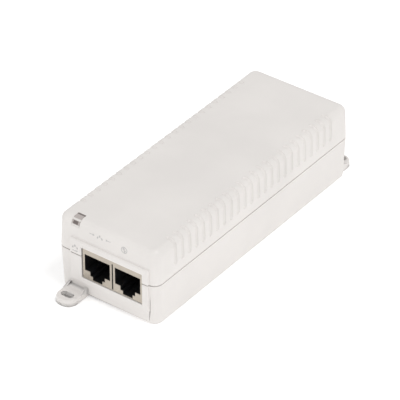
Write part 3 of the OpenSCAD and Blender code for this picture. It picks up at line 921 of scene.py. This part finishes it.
@dataclass
class LowerCase(Case):
    """Lower shell with its mounting ears, bosses and posts."""

    front_ear: Ear = field(default_factory=lambda: Ear(-14.5, 10.75, 6.7))
    rear_ear: Ear = field(default_factory=lambda: Ear(17.3, 7.2, 4.3))
    post_places: tuple = ((-16.5, -51.5), (17, -42.5), (-17.2, 54), (17.2, 54))
    boss_radius: float = 4.0
    head_bore: float = 2.95
    head_seat: float = 13.4
    screw_way: float = 1.6
    post_radius: float = 3.0
    post_bore: float = 1.25
    board_low: float = 7.2
    label_depth: float = 0.15
    label_margin: float = 0.5
    label_corner: float = 2.0

    def add_ears(self, case: bpy.types.Object) -> None:
        """Adds the front ear and the rear ear, which points the other way."""
        for ear, turn, y in ((self.front_ear, 0, -self.length / 2),
                             (self.rear_ear, 180, self.length / 2)):
            form = ear.build()
            form.rotation_euler.z = math.radians(turn)
            form.location = (ear.x, y, ear.lift)
            apply_place(form)
            combine(case, form, Join.ADD)

    def add_lip(self, case: bpy.types.Object, high: float) -> None:
        """Adds the thin lip that stands up inside the cover."""
        lip = self.inset_plate(self.wall - self.lip, high - 2, self.seam + self.lip_height)
        combine(lip, self.inset_plate(self.wall, high - 3, self.seam + 3), Join.CUT)
        combine(case, lip, Join.ADD)

    def add_posts(self, case: bpy.types.Object) -> None:
        """Adds the case's screw bosses and the posts under the board, with their bores."""
        for x, y in self.boss_places:
            for part, low, radius, high, how in (
                    ("boss", 1, self.boss_radius, self.boss_meet, Join.ADD),
                    ("bore", -1, self.head_bore, self.head_seat, Join.CUT),
                    ("bore", -1, self.screw_way, self.boss_meet + 1, Join.CUT)):
                combine(case, new_rod(part, (x, y, low), radius, high - low), how)
        for x, y in self.post_places:
            combine(case, new_rod("post", (x, y, 1), self.post_radius, self.board_low - 1),
                    Join.ADD)
            combine(case, new_rod("bore", (x, y, self.wall), self.post_bore, self.board_low),
                    Join.CUT)

    def build(self) -> bpy.types.Object:
        """Models the lower case."""
        case = self.envelope(False, 0)
        case.name = "lower_shell"
        combine(case, self.front_panel(self.panel_low, self.seam, False), Join.ADD)
        combine(case, self.envelope(False, self.wall), Join.CUT)
        high = self.seam - self.seam_gap / 2
        combine(case, self.slab(high, self.height), Join.CUT)
        self.add_lip(case, high)
        self.add_posts(case)
        self.cut_end_openings(case)
        soften(case, self.softening)
        self.add_ears(case)
        low, high = cad_span("rating_label")
        margin = self.label_margin
        pocket = new_box("pocket", (low.x - margin, low.y - margin, -1),
                         (high.x + margin, high.y + margin, self.label_depth))
        round_edges(pocket, lambda place, run: abs(run.z) > 0.9, self.label_corner, 6)
        combine(case, pocket, Join.CUT)
        even_shading(case)
        return finish_piece(case, self.plastic, stands_for=["bottom_case"])


# ---------------------------------------------------------------- light window and printed marks


@dataclass
class LightWindow:
    """Smoky window that wraps over the front top edge, with its stem down to the lights."""

    case: Case
    material: bpy.types.Material
    foot: float = 31.1
    softening: float = 0.12

    def build(self) -> bpy.types.Object:
        """Models the window as the part of the cover's form that fills its cut-out."""
        low, high = cad_span("light_pipe")
        window = self.case.envelope(True, 0)
        window.name = "window_lens"
        front = -self.case.length / 2
        combine(window, new_box("space", (low.x, front - 1, self.foot),
                                (high.x, high.y, self.case.height + 1)), Join.KEEP)
        stem = new_box("stem", (low.x + 0.4, front + self.case.wall + 1.1, low.z),
                       (high.x - 0.4, high.y - 0.6, self.foot + 0.1))
        combine(window, stem, Join.ADD)
        soften(window, self.softening)
        even_shading(window)
        return finish_piece(window, self.material, stands_for=["light_pipe"])


@dataclass
class PortMarks:
    """Plain printed symbols beside the jacks: arrows, a bolt, a link of boxes and a ring."""

    case: Case
    ink: bpy.types.Material
    thickness: float = 0.03

    def bar(self, x: float, z: float, width: float, height: float) -> bpy.types.Object:
        """Upright printed bar around a point of the plane y = 0."""
        return new_box("bar", (x - width / 2, -self.thickness, z - height / 2),
                       (x + width / 2, self.thickness, z + height / 2))

    def triangle(self, x: float, z: float, size: float, angle: float) -> bpy.types.Object:
        """Printed triangle around a point of the plane y = 0, turned by an angle in degrees."""
        mark = new_rod("triangle", (0, -self.thickness, 0), size, 2 * self.thickness, "Y", sides=3)
        turned(mark, angle, "Y")
        mark.location = (x, 0, z)
        apply_place(mark)
        return mark

    def arrow(self, x: float, z: float, side: int) -> list[bpy.types.Object]:
        """Arrow that points left for side -1 and right for side 1."""
        return [self.bar(x - side * 0.5, z, 1.6, 0.28), self.triangle(x + side * 0.7, z, 0.62, 90)]

    def link(self, x: float, z: float) -> list[bpy.types.Object]:
        """Three small boxes joined by a line."""
        boxes = [self.bar(x + shift, z + rise, 0.62, 0.62)
                 for shift, rise in ((-1.1, -0.55), (1.1, -0.55), (0, 0.6))]
        return [*boxes, self.bar(x, z, 2.3, 0.18), self.bar(x, z + 0.2, 0.18, 0.5),
                self.bar(x - 1.1, z - 0.15, 0.18, 0.4), self.bar(x + 1.1, z - 0.15, 0.18, 0.4)]

    def bolt(self, x: float, z: float) -> list[bpy.types.Object]:
        """Lightning flash made of two slim triangles."""
        return [self.triangle(x - 0.22, z + 0.5, 0.75, 10),
                self.triangle(x + 0.22, z - 0.5, 0.75, 190)]

    def ring(self, x: float, z: float, radius: float) -> list[bpy.types.Object]:
        """Printed ring."""
        ring = new_rod("ring", (x, -self.thickness, z), radius, 2 * self.thickness, "Y", sides=40)
        hole = new_rod("hole", (x, -1, z), radius * 0.78, 2, "Y", sides=40)
        combine(ring, hole, Join.CUT)
        return [ring]

    def build(self) -> list[bpy.types.Object]:
        """Models the marks of the front band and of the panel."""
        front = -self.case.length / 2
        band = joined("band_marks", [*self.arrow(-7.2, 31, 1), *self.link(-3.4, 31),
                                     *self.arrow(0.6, 31, -1),
                                     *self.bolt(8.5, 30.2), *self.ring(8.5, 30.2, 1.5)])
        for vert in band.data.vertices:
            vert.co.y += front + (vert.co.z - self.case.seam) * math.tan(LEAN)
        panel = joined("panel_marks", [*self.link(-14.9, 22.4), *self.arrow(-14.9, 20.4, 1)])
        for vert in panel.data.vertices:
            vert.co.y += front - self.case.panel_step
        return [finish_piece(marks, self.ink) for marks in (band, panel)]


# ---------------------------------------------------------------- jacks


@dataclass
class Jacks:
    """Shield, insert and contacts of the two network jacks."""

    sheet: bpy.types.Material
    moulding: bpy.types.Material
    gold: bpy.types.Material
    finger_length: float = 5.0
    finger_inset: float = 0.5
    finger_half: float = 0.1
    finger_low: float = 16.0
    finger_high: float = 18.4
    finger_bow: float = 0.55

    def finger(self, x: float, side: int) -> bpy.types.Object:
        """Models one springy grounding finger that bows out of a side wall of the shield.

        Args:
            x: Place of the wall's outer face.
            side: -1 for a wall that faces left, 1 for one that faces right.

        Returns:
            The finger, in its place.
        """
        start = cad_span("jack_shield")[0].y + self.finger_inset
        finger = new_box("finger", (x - self.finger_half, start, self.finger_low),
                         (x + self.finger_half, start + self.finger_length, self.finger_high))
        with editing(finger):
            for share in (0.25, 0.5, 0.75):
                bpy.ops.mesh.select_all(action="SELECT")
                bpy.ops.mesh.bisect(plane_co=(0, start + share * self.finger_length, 0),
                                    plane_no=(0, 1, 0))
        for vert in finger.data.vertices:
            share = (vert.co.y - start) / self.finger_length
            vert.co.x += side * self.finger_bow * math.sin(math.pi * min(share * 1.15, 1))
        return finger

    def build(self) -> None:
        """Models and dresses the jacks."""
        shield = softened_copy("jack_shield", "shield_can", 0.07)
        fingers = self.finger(cad_span("jack_shield")[0].x + 0.05, -1)
        fingers.name = "shield_fingers"
        soften(fingers, 0.04)
        finish_piece(shield, self.sheet, stands_for=["jack_shield"])
        finish_piece(fingers, self.sheet)
        insert = softened_copy("jack_housing", "jack_insert", 0.1)
        finish_piece(insert, self.moulding, stands_for=["jack_housing"])
        for node in ("data_in_contacts", "power_out_contacts"):
            dress(node, self.gold)


@dataclass
class MainsInlet:
    """Moulded inlet with its three blades."""

    moulding: bpy.types.Material
    plated: bpy.types.Material

    def build(self) -> None:
        """Models and dresses the inlet."""
        body = softened_copy("inlet_body", "inlet_moulding", 0.35)
        finish_piece(body, self.moulding, stands_for=["inlet_body"])
        blades = softened_copy("inlet_pins", "inlet_blades", 0.45)
        finish_piece(blades, self.plated, stands_for=["inlet_pins"])


# ---------------------------------------------------------------- studio


@dataclass
class Studio:
    """Camera, lights and floor."""

    azimuth: float = 36.683
    elevation: float = 35.429
    distance: float = 1.2323
    aim: Point = (0, 0, 0.016)
    across: float = 0.002816
    upward: float = 0.002193
    lens: float = 277.2
    sky_strength: float = 0.72
    floor_tone: float = 0.95
    floor_glow: float = 0.22

    def add_camera(self) -> None:
        """Sets the camera to look at the jack end from its right and from above."""
        turn, rise = math.radians(self.azimuth), math.radians(self.elevation)
        back = Vector((math.sin(turn) * math.cos(rise), -math.cos(turn) * math.cos(rise),
                       math.sin(rise)))
        right = Vector((math.cos(turn), math.sin(turn), 0))
        up = back.cross(right)
        camera = bpy.data.objects.new("camera", bpy.data.cameras.new("camera"))
        bpy.context.scene.collection.objects.link(camera)
        camera.location = (Vector(self.aim) + back * self.distance - right * self.across
                           - up * self.upward)
        camera.rotation_mode = "QUATERNION"
        camera.rotation_quaternion = (-back).to_track_quat("-Z", "Y")
        camera.data.lens = self.lens
        camera.data.sensor_width = 36
        camera.data.clip_start, camera.data.clip_end = 0.05, 20
        bpy.context.scene.camera = camera

    def add_light(self, name: str, place: Point, size: float, power: float) -> None:
        """Adds a soft square light that faces the object."""
        lamp = bpy.data.objects.new(name, bpy.data.lights.new(name, "AREA"))
        bpy.context.scene.collection.objects.link(lamp)
        lamp.data.size = size
        lamp.data.energy = power
        lamp.location = place
        lamp.rotation_mode = "QUATERNION"
        lamp.rotation_quaternion = (Vector(self.aim) - Vector(place)).to_track_quat("-Z", "Y")

    def add_floor(self) -> None:
        """Adds a plain pale floor that can't be seen from below."""
        bpy.ops.object.select_all(action="DESELECT")
        bpy.ops.mesh.primitive_plane_add(size=8)
        floor = bpy.context.object
        floor.name = "floor"
        material = bpy.data.materials.new("floor")
        material.use_nodes = True
        tree = material.node_tree
        shader = tree.nodes["Principled BSDF"]
        shader.inputs["Base Color"].default_value = (*[self.floor_tone] * 3, 1)
        shader.inputs["Roughness"].default_value = 1
        shader.inputs["Emission Color"].default_value = (1, 1, 1, 1)
        shader.inputs["Emission Strength"].default_value = self.floor_glow
        clear = tree.nodes.new("ShaderNodeBsdfTransparent")
        side = tree.nodes.new("ShaderNodeNewGeometry")
        mix = tree.nodes.new("ShaderNodeMixShader")
        tree.links.new(side.outputs["Backfacing"], mix.inputs["Fac"])
        tree.links.new(shader.outputs["BSDF"], mix.inputs[1])
        tree.links.new(clear.outputs["BSDF"], mix.inputs[2])
        tree.links.new(mix.outputs["Shader"], tree.nodes["Material Output"].inputs["Surface"])
        floor.data.materials.append(material)

    def add_sky(self) -> None:
        """Fills the surroundings with even white light."""
        world = bpy.data.worlds.new("studio")
        bpy.context.scene.world = world
        world.use_nodes = True
        sky = world.node_tree.nodes["Background"]
        sky.inputs["Color"].default_value = (1, 1, 1, 1)
        sky.inputs["Strength"].default_value = self.sky_strength

    def build(self) -> None:
        """Sets up the camera, the floor, the surroundings and the lights."""
        self.add_camera()
        self.add_floor()
        self.add_sky()
        self.add_light("overhead", (0.5, 0.0, 1.1), 0.45, 4.2)
        self.add_light("front", (-0.3, -1.3, 0.6), 0.6, 2.6)
        self.add_light("side", (1.3, 0.2, 0.5), 0.6, 0.45)
        bpy.context.scene.view_settings.view_transform = "Standard"


# ---------------------------------------------------------------- inner parts


@dataclass
class InnerParts:
    """Board, components, screws and label, which keep the forms that the CAD gives them."""

    black: Moulding = Moulding("chip_black", (0.03, 0.03, 0.032), 0.4)
    blue: Moulding = Moulding("disc_blue", (0.05, 0.14, 0.45), 0.35)
    sleeve: Moulding = Moulding("sleeve", (0.02, 0.03, 0.1), 0.25)
    ferrite: Moulding = Moulding("ferrite", (0.09, 0.09, 0.1), 0.55)
    enamel: WoundWire = WoundWire("enamel", (0.6, 0.25, 0.1))
    aluminium: Metal = Metal("heatsink", (0.74, 0.75, 0.76), 0.4, (1, 1, 0.05))
    steel: Metal = Metal("screw_steel", (0.55, 0.55, 0.57), 0.35)

    def looks(self) -> Iterator[tuple[Finish, Sequence[str]]]:
        """Pairs each finish with the nodes that have it."""
        yield Laminate("board", (0.02, 0.16, 0.07), (0.05, 0.26, 0.12)), ["main_board"]
        yield ClearMoulding("film", (0.85, 0.83, 0.7), 0.3), ["insulation_sheet"]
        yield Moulding("fuse_body", (0.2, 0.19, 0.18)), ["fuse"]
        yield self.blue, ["varistor", "y_capacitors"]
        yield Moulding("film_yellow", (0.8, 0.62, 0.12), 0.4), ["x_capacitor"]
        yield Moulding("ring_green", (0.12, 0.28, 0.15), 0.5), ["choke_core"]
        yield self.enamel, ["choke_windings", "inductor_winding"]
        yield self.sleeve, ["bulk_capacitor", "output_capacitors"]
        yield self.aluminium, ["primary_heatsink", "secondary_heatsink"]
        yield self.ferrite, ["transformer_core", "inductor_core"]
        yield WoundWire("tape", (0.8, 0.66, 0.2), 300, 0.0), ["transformer_winding"]
        yield Moulding("opto_white", (0.8, 0.8, 0.77), 0.4), ["optocoupler"]
        yield ClearMoulding("light_resin", (0.5, 0.85, 0.45), 0.4), ["status_lights"]
        yield self.steel, ["case_screws", "board_screws"]
        yield Moulding("label_film", (0.72, 0.73, 0.75), 0.35, 900, 0.000004), ["rating_label"]
        yield Metal("tin", (0.75, 0.74, 0.72), 0.3), ["jack_leads"]
        yield self.black, ["bridge_rectifier", "switching_transistor", "output_rectifier",
                           "choke_base", "transformer_bobbin", "controller_chips",
                           "signal_transformers"]

    def build(self) -> None:
        """Dresses the inner parts."""
        for finish, nodes in self.looks():
            material = finish.build()
            for node in nodes:
                dress(node, material)


# ---------------------------------------------------------------- main


def main() -> None:
    """Builds the scene: studio first, then the case, the jacks, the inlet and the inner parts."""
    logging.basicConfig(level=logging.INFO, format="%(message)s")
    Studio().build()
    white = Moulding("case_white", (0.745, 0.715, 0.69)).build()
    cover = Cover(white)
    cover.build()
    LowerCase(white).build()
    # The window's material paints its shade and its highlight into its colour.
    smoky_painted_light = WindowWithPaintedLight("smoky_painted_light", -60, 34.4, -16.6, -14.3)
    LightWindow(cover, smoky_painted_light.build()).build()
    PortMarks(cover, Moulding("grey_ink", (0.5, 0.49, 0.48), 0.5).build()).build()
    Jacks(Metal("shield_plate", (0.5, 0.45, 0.385), 0.34, (0.1, 1, 1)).build(),
          Moulding("jack_black", (0.012, 0.012, 0.013), 0.4).build(),
          Metal("gold", (0.95, 0.72, 0.32), 0.22).build()).build()
    MainsInlet(Moulding("inlet_black", (0.02, 0.02, 0.021), 0.42).build(),
               Metal("blade_plate", (0.8, 0.79, 0.76), 0.22).build()).build()
    InnerParts().build()


if __name__ == "__main__":
    main()
